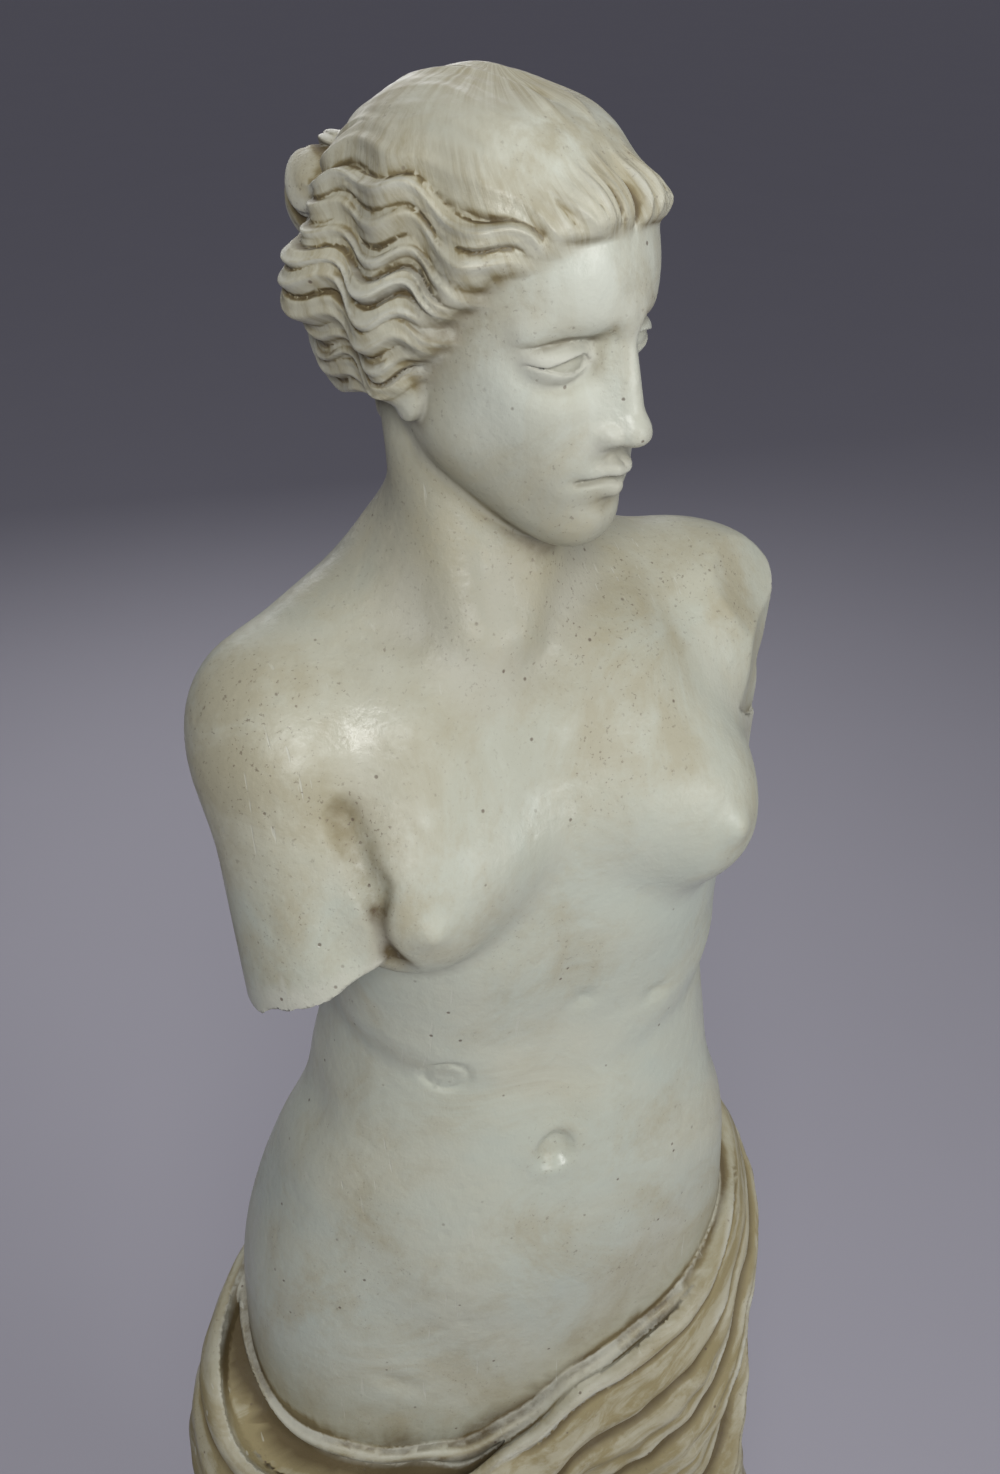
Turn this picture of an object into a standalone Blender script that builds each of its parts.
"""Armless, half-draped standing goddess, cast in plaster as one piece with its low plinth.

The figure is a distance field: limbs, torso, head, locks and folds are simple forms blended
together. All its proportions are hundredths of its own height, so the crown is at 100 and the
sole at 0. Front is -Y and her right side is -X. The plinth has its own sizes in metres.
"""
import math
from concurrent.futures import ThreadPoolExecutor

import bpy
import numpy as np
import openvdb

# overall sizes in metres
FIGURE_HEIGHT = 1.54
PLINTH_HEIGHT = 0.060
PLINTH_MARGIN = 0.012
PLINTH_BEVEL = 0.006
PLINTH_CORNER = 0.070
SINK = 0.008

# where the figure's own axis stands on the plinth, in hundredths of the figure's height
STAND_X, STAND_Y = 1.3, -0.6

# fineness of the cast surface: grid step in hundredths of the height, and the triangle budget
STEP = 0.28
TRIANGLES = 9400

PLASTER = (0.60, 0.57, 0.47, 1.0)
PLASTER_ROUGHNESS = 0.55

FLOAT = np.float32


def smooth_min(a, b, width):
    """Union of two fields with a rounded seam."""
    h = np.maximum(width - np.abs(a - b), 0) / width
    return np.minimum(a, b) - h * h * width * 0.25


def smooth_max(a, b, width):
    """Intersection of two fields with a rounded edge."""
    return -smooth_min(-a, -b, width)


def ellipsoid(p, centre, radii):
    q = [(p[i] - centre[i]) / radii[i] for i in range(3)]
    near = np.sqrt(q[0] ** 2 + q[1] ** 2 + q[2] ** 2) + 1e-6
    slope = np.sqrt(sum((q[i] / radii[i]) ** 2 for i in range(3))) + 1e-6
    return near * (near - 1) / slope


def capsule(p, start, end, start_radius, end_radius):
    """A round bar between two points, tapered from one radius to the other."""
    run = [end[i] - start[i] for i in range(3)]
    length2 = sum(v * v for v in run)
    t = np.clip(sum((p[i] - start[i]) * run[i] for i in range(3)) / length2, 0, 1)
    gap2 = sum((p[i] - start[i] - t * run[i]) ** 2 for i in range(3))
    return np.sqrt(gap2) - (start_radius + t * (end_radius - start_radius))


def bump(p, centre, spread, height):
    """A soft swelling; added to a field it becomes a hollow."""
    return height * np.exp(-0.5 * sum(((p[i] - centre[i]) / spread[i]) ** 2 for i in range(3)))


def lumps(p, size, seed):
    """Irregular swellings about as wide as the size, roughly from -1 to 1."""
    rng = np.random.default_rng(seed)
    total = 0.0
    for _ in range(7):
        way = rng.normal(size=3)
        way *= 2 * math.pi / (size * rng.uniform(0.7, 1.8) * np.linalg.norm(way))
        total = total + np.sin(p[0] * way[0] + p[1] * way[1] + p[2] * way[2] + rng.uniform(0, 6.28))
    return total / 3.0


def furrow(p, start, end, width, depth):
    """A soft furrow along a line; taken from a field it becomes a ridge."""
    gap = np.maximum(capsule(p, start, end, 0, 0), 0)
    return depth * np.exp(-0.5 * (gap / width) ** 2)


def curve(keys, values, steps=240):
    """A smooth curve through the keys, read at any height or angle."""
    keys = np.array(keys, float)
    values = np.array(values, float)
    slope = np.gradient(values, keys)
    at = np.linspace(keys[0], keys[-1], steps)
    i = np.clip(np.searchsorted(keys, at) - 1, 0, len(keys) - 2)
    h = keys[i + 1] - keys[i]
    t = (at - keys[i]) / h
    out = (2 * t**3 - 3 * t**2 + 1) * values[i] + (t**3 - 2 * t**2 + t) * h * slope[i]
    out = out + (3 * t**2 - 2 * t**3) * values[i + 1] + (t**3 - t**2) * h * slope[i + 1]
    return lambda z: np.interp(z, at, out).astype(FLOAT)


# stance: the weight is on her right leg, so the upright body is shifted, tipped and turned
STANCE_Z = (0, 20, 40, 50, 58, 66, 74, 82, 90)
AXIS_X = curve(STANCE_Z, (-1.4, -1.4, -1.2, -0.8, 0.0, 0.4, 0.2, -0.7, -1.2))
AXIS_Y = curve(STANCE_Z, (0.0, 0.0, 0.0, 0.0, 0.2, 0.4, 0.2, 0.4, 0.6))
TIP = curve(STANCE_Z, (0.0, 0.0, 0.08, 0.12, 0.08, 0.02, -0.02, -0.04, -0.03))
TURN = curve(STANCE_Z, (0.0, 0.0, -0.14, -0.18, -0.17, -0.09, 0.0, 0.05, 0.05))

# torso outline: half width, depth in front and depth behind at each height
TORSO_Z = (38, 46, 50, 54, 58, 62, 65, 68, 72, 76, 79, 81.5, 84)
TORSO_SIDE = curve(TORSO_Z, (10.6, 11.3, 11.3, 10.7, 9.6, 8.4, 7.8, 7.8, 8.3, 8.6, 8.3, 6.9, 4.2))
TORSO_LEFT = curve(TORSO_Z, (0.0, 0.0, 0.2, 0.4, 0.6, 0.8, 0.9, 0.9, 0.8, 0.7, 0.4, 0.0, 0.0))
TORSO_FRONT = curve(TORSO_Z, (6.0, 6.2, 6.4, 6.6, 6.4, 6.0, 5.8, 6.1, 6.4, 6.2, 5.3, 4.2, 2.8))
TORSO_BACK = curve(TORSO_Z, (6.6, 7.2, 7.2, 6.3, 5.2, 4.7, 4.6, 4.9, 5.4, 5.8, 5.7, 5.3, 4.2))


def body_frame(x, y, z):
    """Coordinates in the straightened body: across, back and up."""
    dx = x - AXIS_X(z)
    dy = y - AXIS_Y(z)
    turn = TURN(z)
    c, s = np.cos(turn), np.sin(turn)
    u = c * dx + s * dy
    v = -s * dx + c * dy
    return u, v, z + TIP(z) * u


def ring(across, deep, side, front_back, power):
    """Distance to a rounded-square outline in plan."""
    q = (np.abs(across / side) ** power + np.abs(deep / front_back) ** power) ** (1 / power)
    r = np.sqrt(across * across + deep * deep) + 1e-3
    return r - r / np.maximum(q, 1e-3)


def torso(x, y, z):
    u, v, w = body_frame(x, y, z)
    m = np.abs(u)
    p = (m, v, w)
    q = (u, v, w)
    side = TORSO_SIDE(w) + TORSO_LEFT(w) * np.clip(u / 5, 0, 1)
    d = ring(u, v, side, np.where(v < 0, TORSO_FRONT(w), TORSO_BACK(w)), 2.3) * 0.92
    d = smooth_max(d, w - 82.0, 3.0)
    # shoulder girdle, collar bones and the neck's pit
    d = smooth_min(d, capsule(p, (0.0, 1.4, 80.5), (8.2, 0.8, 79.4), 3.2, 2.7), 3.0)
    d = smooth_min(d, capsule(p, (1.8, 1.6, 83.6), (7.6, 1.1, 80.6), 1.9, 1.3), 3.0)
    d -= furrow(p, (1.5, -3.4, 81.6), (7.0, -1.9, 81.4), 0.75, 0.20)
    d += bump(p, (0.0, -4.4, 82.0), (1.0, 1.0, 0.9), 0.5)
    # breasts, low and wide apart, sloping up to the chest and creased below
    c = np.abs(u + 0.35)
    b = (c, v, w)
    breast = ellipsoid(b, (5.05, -4.25, 74.1), (3.25, 2.65, 2.95))
    breast = smooth_min(breast, ellipsoid(b, (5.9, -5.5, 74.3), (1.9, 1.75, 1.9)), 1.8)
    breast = smooth_min(breast, capsule(b, (4.9, -3.3, 76.4), (4.6, -2.7, 79.4), 1.9, 1.1), 3.2)
    breast -= bump(b, (6.3, -7.45, 74.6), (0.40, 0.5, 0.40), 0.34)
    soft = np.clip((w - 71.5) / 5, 0, 1)
    d = smooth_min(d, breast, 0.8 + 2.2 * soft * soft * (3 - 2 * soft))
    # rib cage's lower edge, middle line, belly and navel
    front = np.clip(-v / 4.0, 0, 1)
    above = w - 64.4 - 0.026 * m * m - 0.05 * np.maximum(m - 6, 0) ** 2
    step_out = np.clip(above / 2.2 + 0.5, 0, 1)
    step_out = step_out * step_out * (3 - 2 * step_out)
    strong = 0.16 + 0.26 * np.clip((m - 1.5) / 3.5, 0, 1)
    d -= strong * np.clip((-v + 1) / 4.0, 0, 1) * step_out * np.exp(-np.maximum(above, 0) / 3.5)
    d -= 0.24 * front * np.exp(-0.5 * ((w - 69.8) / 1.6) ** 2 - 0.5 * ((m - 3.5) / 2.6) ** 2)
    d += 0.15 * front * np.exp(-0.5 * (m / 0.8) ** 2 - 0.5 * ((w - 68.0) / 4.0) ** 2)
    d += 0.10 * front * np.exp(-0.5 * (m / 0.9) ** 2 - 0.5 * ((w - 57.0) / 5.0) ** 2)
    d -= bump(p, (0.0, -6.6, 56.5), (4.8, 2.5, 4.4), 0.70)
    d -= bump(p, (2.6, -6.3, 61.8), (1.8, 2.0, 2.2), 0.16)
    dish = np.sqrt(u * u + 1.15 * (w - 60.6) ** 2)
    d += front * (0.24 * np.exp(-((dish / 0.76) ** 5)) - 0.08 * np.exp(-0.5 * ((dish - 1.15) / 0.30) ** 2))
    # hip bones, groin and flanks
    d -= bump(p, (8.4, -3.0, 57.2), (1.9, 1.8, 1.8), 0.30)
    d += furrow(p, (7.8, -4.4, 55.4), (3.4, -6.6, 48.0), 1.5, 0.20)
    d += furrow(q, (-6.2, -5.6, 47.5), (-5.2, -5.9, 46.9), 0.34, 0.16)
    d += furrow(p, (8.6, -1.0, 60.4), (8.9, 2.5, 59.6), 1.2, 0.3)
    # old plug and knocks in the plaster
    plug = np.hypot((u + 4.5) / 0.78, (w - 64.6) / 0.70)
    d += front * (0.10 * np.exp(-0.5 * ((plug - 1) / 0.16) ** 2) + 0.06 * np.clip(1 - plug, 0, 1))
    d += bump(q, (0.7, -6.1, 67.6), (0.34, 1.0, 0.30), 0.16)
    d += bump(q, (4.15, -5.3, 66.5), (0.42, 1.0, 0.30), 0.18)
    # spine, shoulder blades and seat
    back = np.clip(v / 3.0, 0, 1) * np.clip((w - 50) / 6, 0, 1)
    d += 0.55 * back * np.exp(-0.5 * (m / 0.9) ** 2)
    d -= bump(p, (4.6, 5.6, 77.0), (2.0, 1.4, 2.8), 0.55)
    return smooth_min(d, ellipsoid(p, (4.3, 3.9, 49.6), (4.9, 4.6, 5.0)), 1.0)


def neck(x, y, z):
    p = (x, y, z)
    d = capsule(p, (-1.3, 1.0, 80.5), (-0.2, 0.6, 89.0), 3.3, 3.0)
    d = smooth_min(d, capsule(p, (-2.6, 1.4, 89.6), (-2.3, -2.6, 82.6), 0.9, 0.7), 1.6)
    return smooth_min(d, capsule(p, (2.3, 1.4, 89.0), (-0.9, -2.6, 82.6), 0.8, 0.6), 1.6)


def cut_plane(p, point, normal):
    size = math.sqrt(sum(n * n for n in normal))
    return sum((p[i] - point[i]) * normal[i] / size for i in range(3))


def right_arm(x, y, z):
    """Upper arm, broken off above the elbow on a slant, its rim chipped."""
    p = (x, y, z)
    d = capsule(p, (-8.4, -0.6, 78.0), (-7.9, -4.8, 66.0), 3.3, 3.8)
    d = smooth_min(d, ellipsoid(p, (-8.2, 0.9, 78.8), (3.1, 3.4, 3.4)), 2.0)
    cut = cut_plane(p, (-8.6, -1.6, 71.4), (0.42, -0.26, -0.87))
    d = smooth_max(d, cut + 0.10 * lumps(p, 2.2, 3) + 0.04 * lumps(p, 0.8, 4), 0.14)
    return smooth_max(d, -ellipsoid(p, (-11.4, -4.6, 69.9), (0.7, 0.9, 0.45)), 0.1)


def left_shoulder(x, y, z):
    """Shoulder with its arm lost: two rough broken faces with a sharp rim."""
    p = (x, y, z)
    d = ellipsoid(p, (8.9, 0.6, 79.4), (3.8, 3.6, 3.8))
    d = smooth_min(d, capsule(p, (8.2, 0.3, 77.6), (9.0, -0.5, 73.6), 3.0, 2.3), 1.6)
    rough = 0.30 * lumps(p, 3.4, 7) + 0.10 * lumps(p, 1.1, 9)
    return smooth_max(d, cut_plane(p, (11.5, 0.0, 79.2), (0.94, -0.06, -0.34)) + rough, 0.18)


def shoulder_chips(p):
    """The two flat faces knocked off the front of her left shoulder: positive outside them."""
    upper = cut_plane(p, (10.17, -1.57, 81.06), (0.42, -0.72, 0.55)) + 0.06 * lumps(p, 2.7, 12)
    lower = cut_plane(p, (10.88, -1.65, 79.34), (0.66, -0.75, -0.02)) + 0.06 * lumps(p, 2.4, 14)
    return np.minimum(smooth_max(upper, lower, 0.07), -ellipsoid(p, (10.5, -1.5, 80.2), (4.0, 4.0, 4.2)))


# head: its own centimetres, 24.5 from chin to crown, from the middle of the eyes' line
HEAD_SIZE = 13.8 / 24.5
HEAD_AT = (-0.35, -0.2, 92.9)
HEAD_YAW = math.radians(24)
HEAD_NOD = math.radians(-8)

FACE_Z = (-12.2, -11.2, -10, -8.5, -7, -5, -3, -1, 1, 3, 5, 7, 9, 11, 12.6)
FACE_SIDE = curve(FACE_Z, (1.2, 2.2, 3.2, 4.15, 4.9, 5.8, 6.5, 6.9, 7.1, 7.2, 7.2, 6.9, 6.2, 4.8, 2.4))
FACE_FRONT = curve(FACE_Z, (6.0, 8.0, 9.0, 9.0, 9.2, 9.2, 9.0, 8.9, 9.2, 9.4, 9.1, 8.3, 6.9, 4.8, 2.2))
FACE_BACK = curve(FACE_Z, (1.0, 1.0, 1.0, 1.0, 2.5, 5.5, 7.8, 9.0, 9.7, 10.2, 10.3, 9.9, 8.9, 6.8, 4.2))

# how far forward the hair comes at each height of the head
HAIRLINE_Z = (-7, -5.5, -4.6, -3.4, -2, 0, 1.5, 3, 4.6, 6.0, 7.0, 8.0, 12)
HAIRLINE = curve(HAIRLINE_Z, (-5.5, -3.0, -1.0, 0.8, 1.6, 2.4, 3.0, 4.0, 5.6, 7.4, 9.0, 10.5, 14.0))


def head_frame(x, y, z):
    """Across (her left is +), forward and up, in the head's own centimetres."""
    dx, dy, dz = x - HEAD_AT[0], y - HEAD_AT[1], z - HEAD_AT[2]
    c, s = math.cos(HEAD_YAW), math.sin(HEAD_YAW)
    across = c * dx + s * dy
    level = s * dx - c * dy
    c, s = math.cos(HEAD_NOD), math.sin(HEAD_NOD)
    return across / HEAD_SIZE, (c * level + s * dz) / HEAD_SIZE, (c * dz - s * level) / HEAD_SIZE


def eyes(m, f, u):
    """Eyeball under two soft lids, each a shell cut at its own line."""
    p = (m, f, u)
    across = (m - 3.15) / 1.75
    bow = np.clip(1 - across * across, 0, 1)
    ball = ellipsoid(p, (3.15, 6.40, -0.05), (1.95, 1.72, 1.42))
    upper = smooth_max(ball - 0.30, 0.44 * bow - 0.05 * across + 0.02 - u, 0.20)
    lower = smooth_max(ball - 0.20, u + 0.40 * bow + 0.04 * across + 0.08, 0.22)
    return smooth_min(lower, smooth_min(upper, ball, 0.10), 0.12)


def nose(a, f, u):
    m = np.abs(a)
    p = (m, f, u)
    t = np.clip((2.6 - u) / 6.6, 0, 1)
    bridge = 9.15 + 2.15 * t
    half = 0.42 + 0.20 * t
    d = smooth_max((f - bridge) * 0.93, (m - half) * 0.84 + (f - bridge) * 0.52, 0.55)
    d = smooth_max(d, -4.55 + 0.22 * (f - 10.0) - u, 0.5)
    d = smooth_max(d, (u - 2.6) * 0.6, 0.8)
    d = smooth_max(d, 6.5 - f, 0.5)
    d = smooth_min(d, ellipsoid((a, f, u), (0, 10.72, -3.80), (0.84, 0.70, 0.66)), 0.9)
    d = smooth_min(d, ellipsoid(p, (1.3, 9.55, -4.05), (0.60, 0.95, 0.62)), 0.45)
    return smooth_max(d, -ellipsoid(p, (0.62, 10.0, -4.85), (0.36, 0.62, 0.42)), 0.2)


def face(a, f, u):
    m = np.abs(a)
    p = (m, f, u)
    q = (a, f, u)
    d = ring(a, f, FACE_SIDE(u), np.where(f > 0, FACE_FRONT(u), FACE_BACK(u)), 2.25) * 0.85
    d = smooth_max(d, np.abs(u - 0.1) - 11.5, 1.2)
    # jaw, chin, mouth's swelling and cheeks
    d = smooth_min(d, capsule(p, (4.2, 2.2, -6.0), (1.2, 6.8, -9.9), 1.5, 1.5), 3.4)
    d = smooth_min(d, ellipsoid(q, (0, 7.7, -10.0), (1.8, 1.5, 1.5)), 1.6)
    d = smooth_min(d, ellipsoid(q, (0, 7.3, -6.7), (3.1, 2.3, 2.5)), 1.6)
    d -= bump(p, (4.1, 6.9, -3.4), (2.0, 2.2, 2.2), 0.45)
    # brows, eye hollows, eyes and nose
    d = smooth_min(d, capsule(p, (0.7, 8.45, 2.05), (4.9, 6.15, 1.55), 0.75, 0.5), 1.4)
    d += bump(p, (3.1, 8.7, 0.0), (1.75, 2.0, 0.95), 1.55)
    d += bump(p, (1.45, 9.2, 0.4), (0.60, 1.6, 0.9), 0.75)
    d = smooth_min(d, eyes(m, f, u), 0.55)
    across = (m - 3.2) / 1.9
    fold = u - 0.82 - 0.42 * np.clip(1 - across * across, 0, 1)
    d += 0.16 * np.exp(-0.5 * (fold / 0.17) ** 2 - 0.5 * across**4) * np.clip(f - 5.0, 0, 1)
    d = smooth_min(d, nose(a, f, u), 0.9)
    # lips
    upper = capsule(p, (0.45, 9.88, -6.16), (2.2, 8.72, -6.66), 0.60, 0.20)
    upper = smooth_min(upper, ellipsoid(q, (0, 10.05, -6.45), (0.6, 0.45, 0.38)), 0.5)
    d = smooth_min(d, upper, 0.45)
    d = smooth_min(d, capsule(p, (0.0, 9.60, -7.50), (1.75, 8.70, -7.08), 0.78, 0.26), 0.45)
    parting = u + 6.76 + 0.06 * m - 0.08 * np.exp(-0.5 * ((m - 0.9) / 0.5) ** 2)
    fade = np.clip((2.7 - m) / 0.5, 0, 1) * np.clip((f - 7.8) / 0.6, 0, 1)
    d += 0.30 * fade * np.exp(-0.5 * (parting / 0.16) ** 2)
    d += bump(p, (2.65, 8.7, -6.85), (0.4, 0.8, 0.4), 0.18)
    return d + bump(q, (0, 9.8, -8.45), (1.3, 0.9, 0.4), 0.22)


def strand_table(seed):
    """Middle, half width, height and wave lag of each lock, from the parting down to the nape."""
    rng = np.random.default_rng(seed)
    rows = []
    at = 0.10
    while at < 2.8:
        loose = min(max((at - 0.5) / 0.5, 0), 1)
        half = (0.115 - 0.030 * loose) * rng.uniform(0.75, 1.3)
        rows.append((at, half * 1.15, (0.28 + 0.42 * loose) * rng.uniform(0.7, 1.25), rng.uniform(-0.7, 0.7)))
        at += half * 1.75
    return rows


def locks(phi, along, seed):
    """Wavy locks side by side: one common wave, with every lock a little apart from it."""
    loose = np.clip((phi - 0.5) / 0.5, 0, 1)
    beat = 10.5 * along + 1.5 * phi + 0.5 * np.sin(2.3 * phi + seed) + 0.5 * np.sin(2.2 * along + phi)
    flow = phi - (0.012 + 0.046 * loose) * (np.sin(beat) + 0.15 * np.sin(2 * beat + 0.8))
    out = np.zeros_like(phi)
    for at, half, high, lag in strand_table(seed):
        middle = at + 0.24 * half * np.sin(7.0 * along + 9 * lag)
        t = (flow - middle) / half
        body = np.clip(1 - t * t, 0, 1) ** 0.8
        swell = 1 + 0.28 * np.sin(beat + 1.2 + lag)
        fine = 0.09 * np.cos(7.5 * t + 2.0 * lag)
        out = np.maximum(out, np.where(np.abs(t) < 1, body * (high * swell) + fine * body, 0))
    return out + 0.20 * loose * np.sin(beat + 0.4)


def hair(a, f, u):
    """Hair parted in the middle, drawn back in waves over the ears to a knot."""
    m = np.abs(a)
    p = (m, f, u)
    q = (a, f, u)
    d = ellipsoid(q, (0, -1.2, 3.9), (8.1, 10.4, 8.5))
    d = smooth_min(d, capsule(p, (2.6, 6.9, 6.9), (6.4, 3.4, 3.4), 1.5, 2.0), 2.2)
    d = smooth_min(d, capsule(p, (6.6, 0.9, 0.6), (5.6, -6.6, 0.8), 2.3, 3.0), 2.4)
    d = smooth_min(d, capsule(p, (6.2, -1.2, -2.6), (3.2, -7.6, -3.4), 2.0, 2.6), 2.0)
    peak = 0.35 * np.clip(1 - m / 1.6, 0, 1)
    line = HAIRLINE(u + peak) + 0.22 * np.sin(2.6 * u + 1.0) + 0.12 * np.sin(5.3 * u + a)
    phi = np.arctan2(m, u - 1.5)
    along = np.arctan2(np.sqrt(a * a + (u - 1.5) ** 2), f + 0.5)
    relief = np.where(a < 0, locks(phi, along, 5), locks(phi, along, 8))
    behind = line - f
    fade = np.clip((behind + 0.2) / 2.4, 0.0, 1)
    top = np.clip(1.15 - phi, 0, 1)
    step_back = along - 0.98 - 0.10 * np.sin(3.0 * phi)
    roll = top * (0.42 * np.exp(-0.5 * ((step_back + 0.30) / 0.22) ** 2) - 0.55 * np.exp(-0.5 * (step_back / 0.11) ** 2))
    parting = 0.40 * np.exp(-0.5 * (a / 0.35) ** 2) * np.clip((f + 4) / 4, 0, 1)
    d = d - relief * (0.12 + 0.88 * fade) - roll + 0.35 + parting
    d = smooth_max(d, (f - line) * 0.72, 1.3)
    # knot at the back, wound in a spiral of strands
    knot = ellipsoid(q, (0, -12.0, 3.4), (3.3, 3.1, 3.1))
    turn = np.arctan2(a, u - 3.4)
    out = np.sqrt(a * a + (u - 3.4) ** 2)
    half = (2.5 * turn + 1.5 * out) / math.pi
    ridge = 1 - (2 * (half - np.floor(half)) - 1) ** 2
    half = half * 3 + 0.3 * np.sin(3 * turn)
    fine = 1 - (2 * (half - np.floor(half)) - 1) ** 2
    d = smooth_min(d, knot - 0.6 * ridge - 0.12 * fine + 0.3, 0.5)
    # short curls at the nape
    return smooth_min(d, capsule(p, (2.2, -6.2, -5.6), (3.0, -5.2, -7.2), 0.75, 0.35), 0.5)


def head(x, y, z):
    a, f, u = head_frame(x, y, z)
    ear = ellipsoid((np.abs(a), f, u), (6.55, -0.3, -3.6), (0.75, 1.05, 1.7))
    d = smooth_min(face(a, f, u), ear, 0.4)
    return smooth_min(d, hair(a, f, u), 0.7) * HEAD_SIZE


# cloth: its top edge by angle round the body (0 is front, + towards her left), and its outline
EDGE_ANGLE = np.radians((-180, -150, -120, -95, -70, -45, -20, 0, 25, 50, 75, 95, 120, 150, 180))
EDGE_Z = (50.5, 49.5, 47.5, 45.6, 43.6, 43.0, 43.8, 45.0, 47.0, 49.3, 52.0, 53.5, 53.6, 52.0, 50.5)
CLOTH_EDGE = curve(EDGE_ANGLE, EDGE_Z)
CLOTH_Z = (0, 3, 10, 20, 30, 38, 44, 50, 56)
CLOTH_X = curve(CLOTH_Z, (-1.6, -1.6, -1.6, -1.6, -1.7, -1.6, -1.1, -0.3, 0.1))
CLOTH_SIDE = curve(CLOTH_Z, (11.6, 11.0, 10.5, 11.2, 13.0, 14.5, 14.6, 13.5, 12.0))
CLOTH_FRONT = curve(CLOTH_Z, (7.8, 7.2, 6.8, 7.2, 8.0, 8.4, 8.4, 7.9, 7.0))
CLOTH_BACK = curve(CLOTH_Z, (9.0, 8.4, 7.4, 7.0, 7.4, 8.0, 8.6, 8.6, 7.4))

GATHER_ANGLE = math.radians(104)


def fold_table(count, spread, seed):
    """Valleys between folds at uneven steps, with the height and crease of each fold."""
    rng = np.random.default_rng(seed)
    steps = rng.uniform(1 - spread, 1 + spread, count)
    valleys = np.concatenate(([0], np.cumsum(steps))) / steps.sum()
    return valleys, rng.uniform(0.55, 1.15, count), rng.uniform(0.25, 0.75, count)


def pleats(at, run, table, power):
    """Broad folds with sharp valleys between them, each rising and dying along its run."""
    valleys, heights, creases = table
    i = np.clip(np.searchsorted(valleys, at) - 1, 0, len(heights) - 1)
    t = (at - valleys[i]) / (valleys[i + 1] - valleys[i])
    plateau = np.sqrt((1 - np.abs(2 * np.clip(t, 0, 1) - 1) ** power) ** 2 + 0.014)
    crease = np.exp(-0.5 * ((t - creases[i]) / 0.12) ** 2)
    living = 0.78 + 0.22 * np.sin(run * (0.16 + 0.10 * creases[i]) + 2.3 * i)
    return heights[i] * living * plateau - 0.18 * crease * plateau * living


FAN = fold_table(9, 0.50, 24)
HANGING = fold_table(19, 0.45, 11)


def fan_lie(angle, z, edge):
    """Along and across the folds that fan out from the gather at her left hip."""
    reach = np.abs(GATHER_ANGLE - angle) * 10.5
    spacing = 0.60 + 0.15 * reach - 0.0015 * reach * reach
    order = (edge - z) / spacing + 0.16 * np.sin(0.27 * reach + 1.0) + 0.07 * np.sin(0.71 * reach + z * 0.2)
    return reach, order


def fan_folds(angle, z, edge):
    """Folds that run down from the gather at her left hip, and how far they hold sway."""
    reach, order = fan_lie(angle, z, edge)
    folds = pleats(np.clip((order + 0.7) / 9.7, 0, 1), reach, FAN, 3.6)
    high = (0.40 + 0.60 * np.clip(reach / 10, 0, 1)) * np.clip((angle + 2.9) / 1.5, 0, 1)
    return folds * high * np.clip((3.05 - angle) / 0.6, 0, 1), np.clip((7.2 - order) / 2.5, 0, 1)


def hanging_folds(angle, z):
    """Long folds round the lower cloth, quieter over her right leg."""
    turn = (angle + math.pi) / (2 * math.pi)
    turn = turn + 0.006 * np.sin(z * 0.17 + 7 * angle) + 0.0016 * (30 - z) * np.sin(angle * 2 + 0.6)
    folds = pleats(turn - np.floor(turn), z, HANGING, 2.2)
    quiet = 1 - 0.55 * np.exp(-0.5 * ((angle + 0.5) / 0.38) ** 2)
    return folds * quiet * (0.65 + 0.5 * np.clip((22 - z) / 20, 0, 1))


def drapery(x, y, z, flesh):
    """Cloth wrapped round the hips and legs, with its turned top edge standing off the hip."""
    dx, dy = x - CLOTH_X(z), y - AXIS_Y(z)
    angle = np.arctan2(dx, -dy)
    d = ring(dx, dy, CLOTH_SIDE(z), np.where(dy < 0, CLOTH_FRONT(z), CLOTH_BACK(z)), 2.2) * 0.95
    p = (x, y, z)
    legs = capsule(p, (5.0, -1.5, 47.0), (6.4, -8.3, 28.0), 5.4, 3.9)
    legs = np.minimum(legs, capsule(p, (6.4, -8.3, 28.0), (6.4, -4.6, 3.0), 3.7, 2.7))
    legs = np.minimum(legs, capsule(p, (-6.0, 0.4, 48.0), (-5.6, -1.6, 27.0), 5.9, 4.3))
    d = smooth_min(d + 0.6, legs, 3.0)
    d = smooth_min(d, flesh - 0.55 + 0.5 * np.maximum(44 - z, 0), 1.5)
    edge = CLOTH_EDGE(angle) + 0.22 * np.sin(6.3 * angle + 1.0) + 0.12 * np.sin(14.1 * angle)
    low = np.clip((z - 22) / 12, 0, 1)
    fan, sway = fan_folds(angle, z, edge)
    low = low * sway
    folds = 1.25 * fan * low + 1.4 * hanging_folds(angle, z) * (1 - low) * np.clip((edge - z) / 6, 0, 1)
    folds = folds + 0.05 * lumps(p, 2.6, 31) + 0.03 * lumps(p, 1.6, 33)
    d = d - folds * (0.15 + 0.85 * np.clip((edge - z) / 2.0, 0, 1)) + 0.25
    trough = 0.9 * np.clip((-d - 0.45) / 0.8, 0, 1) * np.clip((1.1 - angle) / 0.5, 0, 1)
    d = smooth_max(d, z - edge + trough, 0.35)
    thick = 0.31 + 0.13 * np.sin(angle * 2.0 + 2.2) + 0.05 * np.sin(9 * angle)
    roll = np.sqrt((flesh - 0.20) ** 2 + (z - edge + 0.3) ** 2) - thick
    d = smooth_min(d, roll, 0.5)
    # the tuck at her left hip, where the folds gather
    tuck = ellipsoid(p, (11.2, 2.2, 51.2), (1.9, 2.5, 2.5))
    return smooth_min(d, tuck + 0.25 * np.sin(2.6 * y + 1.2 * z) + 0.1 * lumps(p, 1.5, 17), 0.8)


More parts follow.
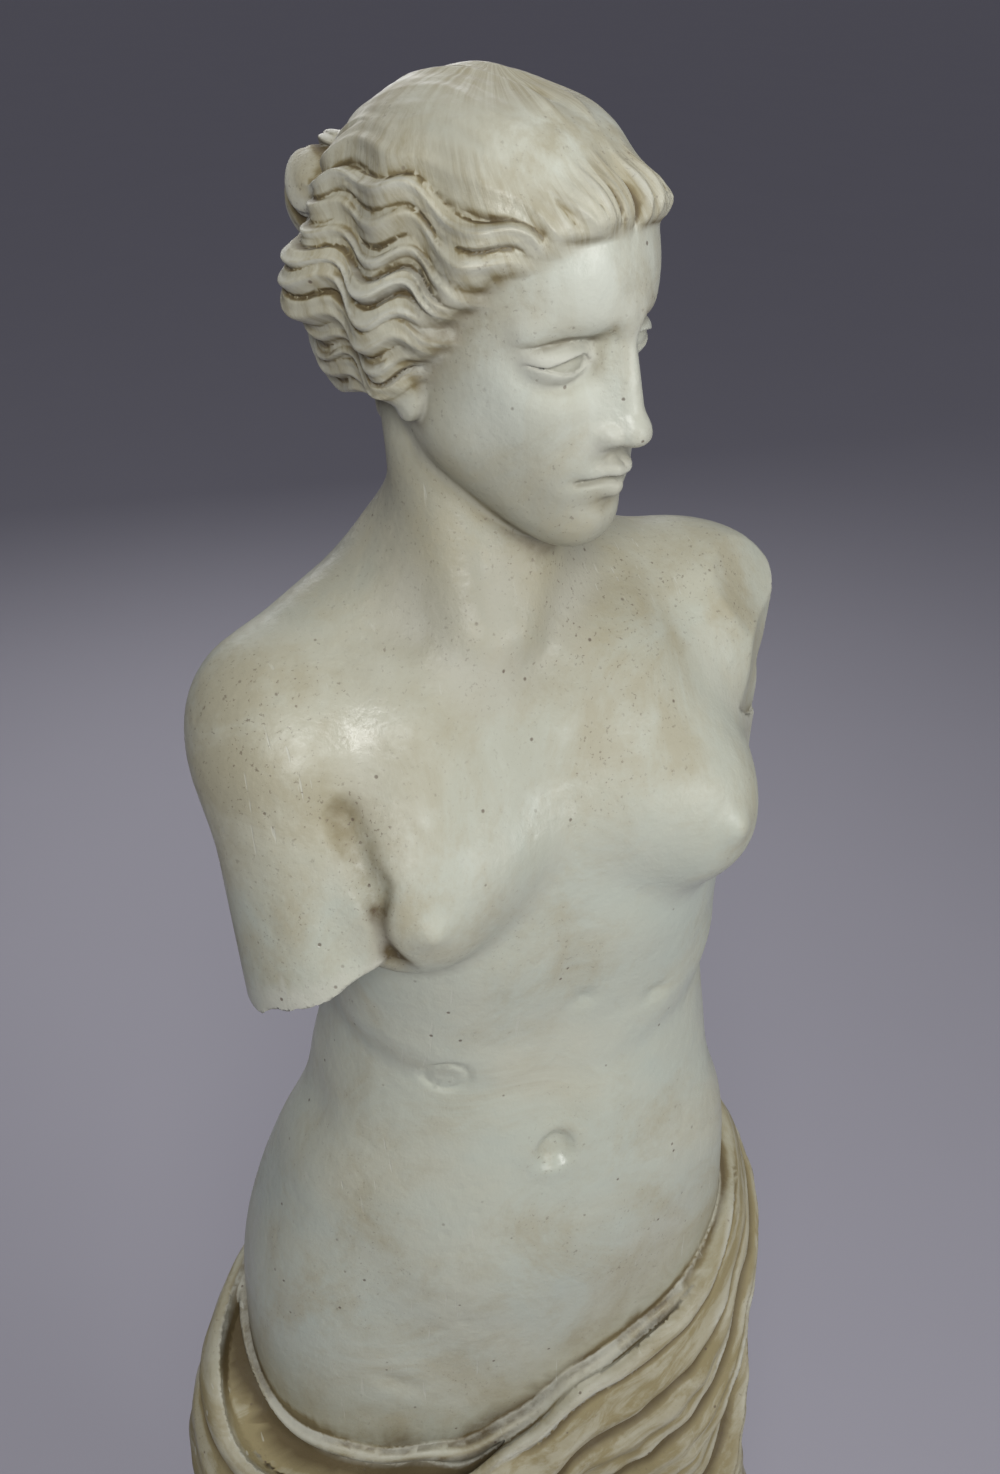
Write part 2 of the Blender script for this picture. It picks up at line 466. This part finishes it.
def foot(p, ankle, toe):
    """Front of a bare foot under the hem, with its row of toes."""
    d = capsule(p, ankle, toe, 1.9, 1.15)
    for i in range(5):
        off = (i - 2) * 0.62
        start = (toe[0] + off, toe[1] + 0.3, toe[2] - 0.2)
        end = (toe[0] + off * 1.05, toe[1] - 1.3 + 0.22 * abs(i - 1), toe[2] - 0.45)
        d = smooth_min(d, capsule(p, start, end, 0.48, 0.40), 0.25)
    return d


def figure(x, y, z):
    """Distance, roughly, from the figure's surface: negative inside."""
    flesh = np.full(x.shape, 1e3, FLOAT)
    up = z > 34
    xs, ys, zs = x[up], y[up], z[up]
    body = smooth_min(torso(xs, ys, zs), neck(xs, ys, zs), 2.2)
    body = smooth_min(body, right_arm(xs, ys, zs), 0.9)
    p = (xs, ys, zs)
    body += furrow(p, (-8.2, -4.2, 78.0), (-7.8, -5.8, 75.8), 0.36, 0.26)
    body += furrow(p, (-7.8, -5.8, 75.8), (-7.3, -6.4, 72.4), 0.34, 0.34)
    flesh[up] = smooth_min(body, left_shoulder(xs, ys, zs), 1.6)
    chest = (z > 68) & (z < 86) & (x > 4)
    flesh[chest] = smooth_max(flesh[chest], shoulder_chips((x[chest], y[chest], z[chest])), 0.07)
    out = flesh.copy()
    top = z > 84
    out[top] = smooth_min(out[top], head(x[top], y[top], z[top]), 0.35)
    low = z < 60
    out[low] = smooth_min(out[low], drapery(x[low], y[low], z[low], flesh[low]), 0.25)
    hem = z < 8
    p = (x[hem], y[hem], z[hem])
    out[hem] = smooth_min(out[hem], foot(p, (6.6, -6.4, 1.6), (7.3, -10.2, 0.9)), 0.4)
    out[hem] = smooth_min(out[hem], foot(p, (-4.6, -4.6, 1.6), (-5.5, -8.6, 0.9)), 0.4)
    return out


def surface(field, low, high, step, block=8):
    """Closed mesh of the field's zero level, worked out only in blocks near the surface."""
    low = np.array(low, float)
    size = step * block
    count = np.ceil((np.array(high) - low) / size).astype(int)
    middles = [low[i] + (np.arange(count[i]) + 0.5) * size for i in range(3)]
    cx, cy, cz = np.meshgrid(*middles, indexing="ij")
    coarse = field(cx.ravel().astype(FLOAT), cy.ravel().astype(FLOAT), cz.ravel().astype(FLOAT))
    coarse = coarse.reshape(cx.shape)
    near = np.abs(coarse) < size * 1.25
    cells = np.argwhere(near)
    offset = np.arange(block) * step
    ox, oy, oz = [o.ravel() for o in np.meshgrid(offset, offset, offset, indexing="ij")]
    groups = np.array_split(cells, max(1, len(cells) // 400))

    def values(group):
        base = low + group * size
        x = (base[:, 0, None] + ox).astype(FLOAT).ravel()
        y = (base[:, 1, None] + oy).astype(FLOAT).ravel()
        z = (base[:, 2, None] + oz).astype(FLOAT).ravel()
        return field(x, y, z).reshape(len(group), block, block, block)

    grid = openvdb.FloatGrid(step * 4)
    with ThreadPoolExecutor(4) as pool:
        for group, found in zip(groups, pool.map(values, groups)):
            for cell, part in zip(group, found):
                part = np.ascontiguousarray(np.clip(part, -4 * step, 4 * step))
                grid.copyFromArray(part, ijk=tuple(int(v) for v in cell * block))
    for cell in np.argwhere((coarse < 0) & ~near):
        start = [int(v) for v in cell * block]
        grid.fill(tuple(start), tuple(v + block - 1 for v in start), -4 * step, active=True)
    points, triangles, quads = grid.convertToPolygons(isovalue=0.0, adaptivity=0.0)
    faces = [tuple(int(i) for i in face[::-1]) for face in quads]
    faces += [tuple(int(i) for i in face[::-1]) for face in triangles]
    return np.asarray(points) * step + low, faces


def new_object(name, points, faces):
    mesh = bpy.data.meshes.new(name)
    mesh.from_pydata([tuple(p) for p in points], [], faces)
    mesh.validate()
    obj = bpy.data.objects.new(name, mesh)
    bpy.context.scene.collection.objects.link(obj)
    return obj


def plinth(reach_x, reach_y):
    """Low slab with rounded corners and a small bevel round its top and its foot."""
    rings = (
        (0.0, PLINTH_BEVEL * 0.5),
        (PLINTH_BEVEL * 0.5, 0.0),
        (PLINTH_HEIGHT - PLINTH_BEVEL, 0.0),
        (PLINTH_HEIGHT, PLINTH_BEVEL),
    )
    corner_steps = 8
    points = []
    for z, inset in rings:
        radius = PLINTH_CORNER - inset
        for corner in range(4):
            side_x = 1 if corner in (0, 3) else -1
            side_y = 1 if corner in (0, 1) else -1
            middle_x = side_x * (reach_x - PLINTH_CORNER)
            middle_y = side_y * (reach_y - PLINTH_CORNER)
            for i in range(corner_steps + 1):
                angle = (corner + i / corner_steps) * math.pi / 2
                x = middle_x + radius * math.cos(angle)
                y = middle_y + radius * math.sin(angle)
                points.append((x, y, z))
    around = 4 * (corner_steps + 1)
    faces = [tuple(reversed(range(around)))]
    for level in range(len(rings) - 1):
        base = level * around
        for i in range(around):
            j = (i + 1) % around
            faces.append((base + i, base + j, base + around + j, base + around + i))
    faces.append(tuple(range(around * (len(rings) - 1), around * len(rings))))
    return new_object("plinth_slab", points, faces)


def plaster():
    material = bpy.data.materials.new("plaster")
    material.use_nodes = True
    shader = material.node_tree.nodes["Principled BSDF"]
    shader.inputs["Base Color"].default_value = PLASTER
    shader.inputs["Roughness"].default_value = PLASTER_ROUGHNESS
    shader.inputs["Metallic"].default_value = 0.0
    return material


def build():
    for obj in list(bpy.data.objects):
        bpy.data.objects.remove(obj)
    unit = FIGURE_HEIGHT / 100
    foot_level = -SINK / unit

    def sunk_figure(x, y, z):
        return smooth_max(figure(x, y, z), foot_level - z, 0.3)

    points, faces = surface(sunk_figure, (-18, -16, foot_level - 1.5), (17, 15, 101.5), STEP)
    points = (points + (STAND_X, STAND_Y, 0)) * unit + (0, 0, PLINTH_HEIGHT)
    statue = new_object("goddess_statue", points, faces)
    thin = statue.modifiers.new("thin_out", "DECIMATE")
    thin.ratio = TRIANGLES / (2 * len(faces))
    reach = np.abs(points).max(axis=0) + PLINTH_MARGIN
    slab = plinth(float(reach[0]), float(reach[1]))
    slab.hide_render = True
    slab.display_type = "WIRE"
    join = statue.modifiers.new("cast_with_plinth", "BOOLEAN")
    join.operation = "UNION"
    join.solver = "EXACT"
    join.object = slab
    statue.data.materials.append(plaster())
    statue.data.shade_smooth()
    return statue


build()
